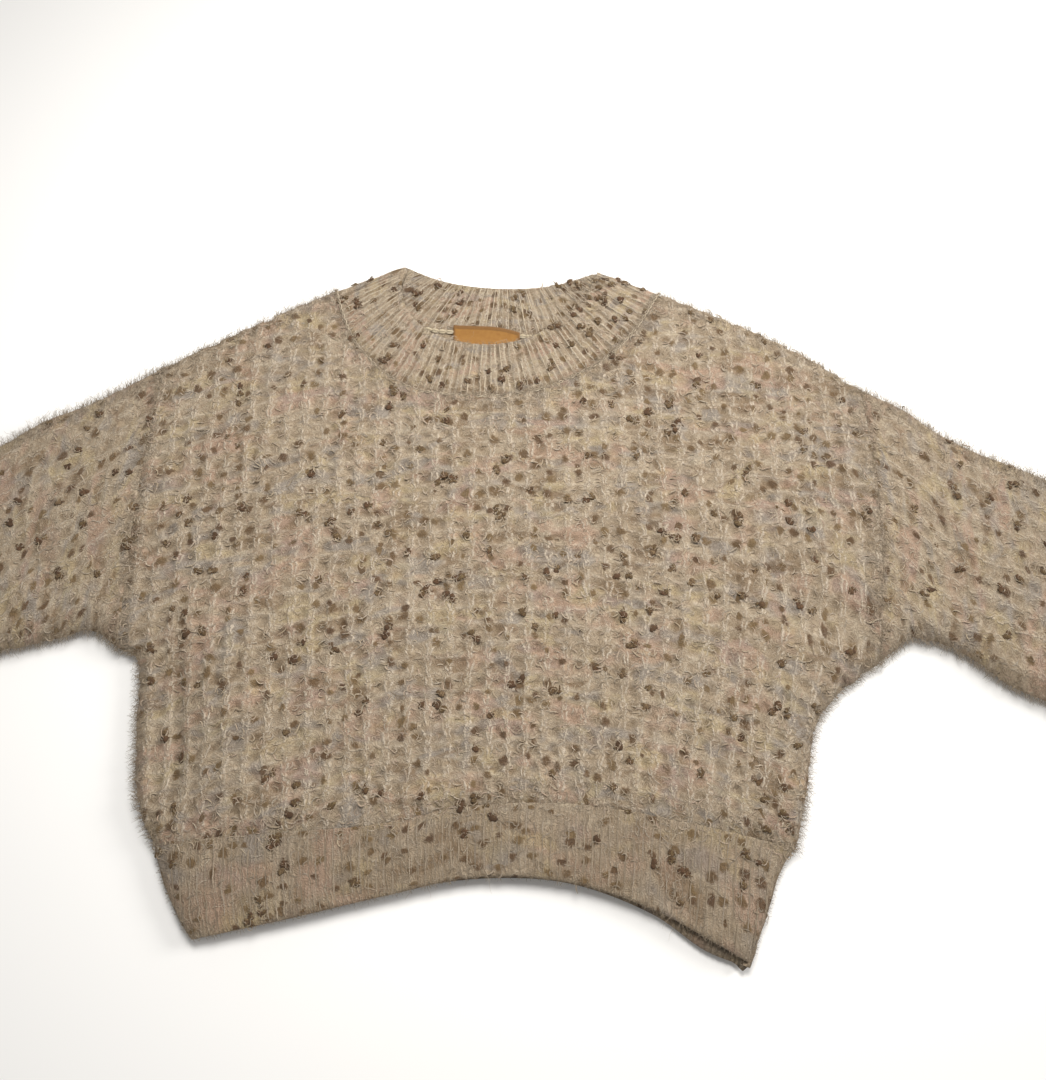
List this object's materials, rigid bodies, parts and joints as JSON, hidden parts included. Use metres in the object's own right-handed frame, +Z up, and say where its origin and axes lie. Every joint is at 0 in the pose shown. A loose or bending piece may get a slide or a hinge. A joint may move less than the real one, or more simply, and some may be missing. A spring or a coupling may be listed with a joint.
{
  "type": "cropped knit sweater laid flat",
  "caption": "Boxy cropped pullover in thick brushed tweed knit, laid flat with its long sleeves out, with a wide ribbed neckband, a ribbed hem and ribbed cuffs",
  "frame": {"origin": "on the table, under the middle of the bounding box of the sweater as it lies", "axes": "+X runs along the spread sleeves towards the right side of the picture, +Y runs from the hem towards the neck, +Z points up from the table out of the front"},
  "size_m": [1.457, 0.5298, 0.0175],
  "materials": {
    "knit": "brushed oatmeal tweed yarn with dark flecks, waffle knit",
    "rib": "the same yarn in single rib",
    "woven": "mustard woven label, bare"
  },
  "bodies": {
    "root": {"front": "knit", "back": "knit", "sleeve_left": "knit", "sleeve_right": "knit", "cuff_left": "rib", "cuff_right": "rib", "hem_front": "rib", "hem_back": "rib", "neckband": "rib", "label": "woven"}
  },
  "joints": []
}
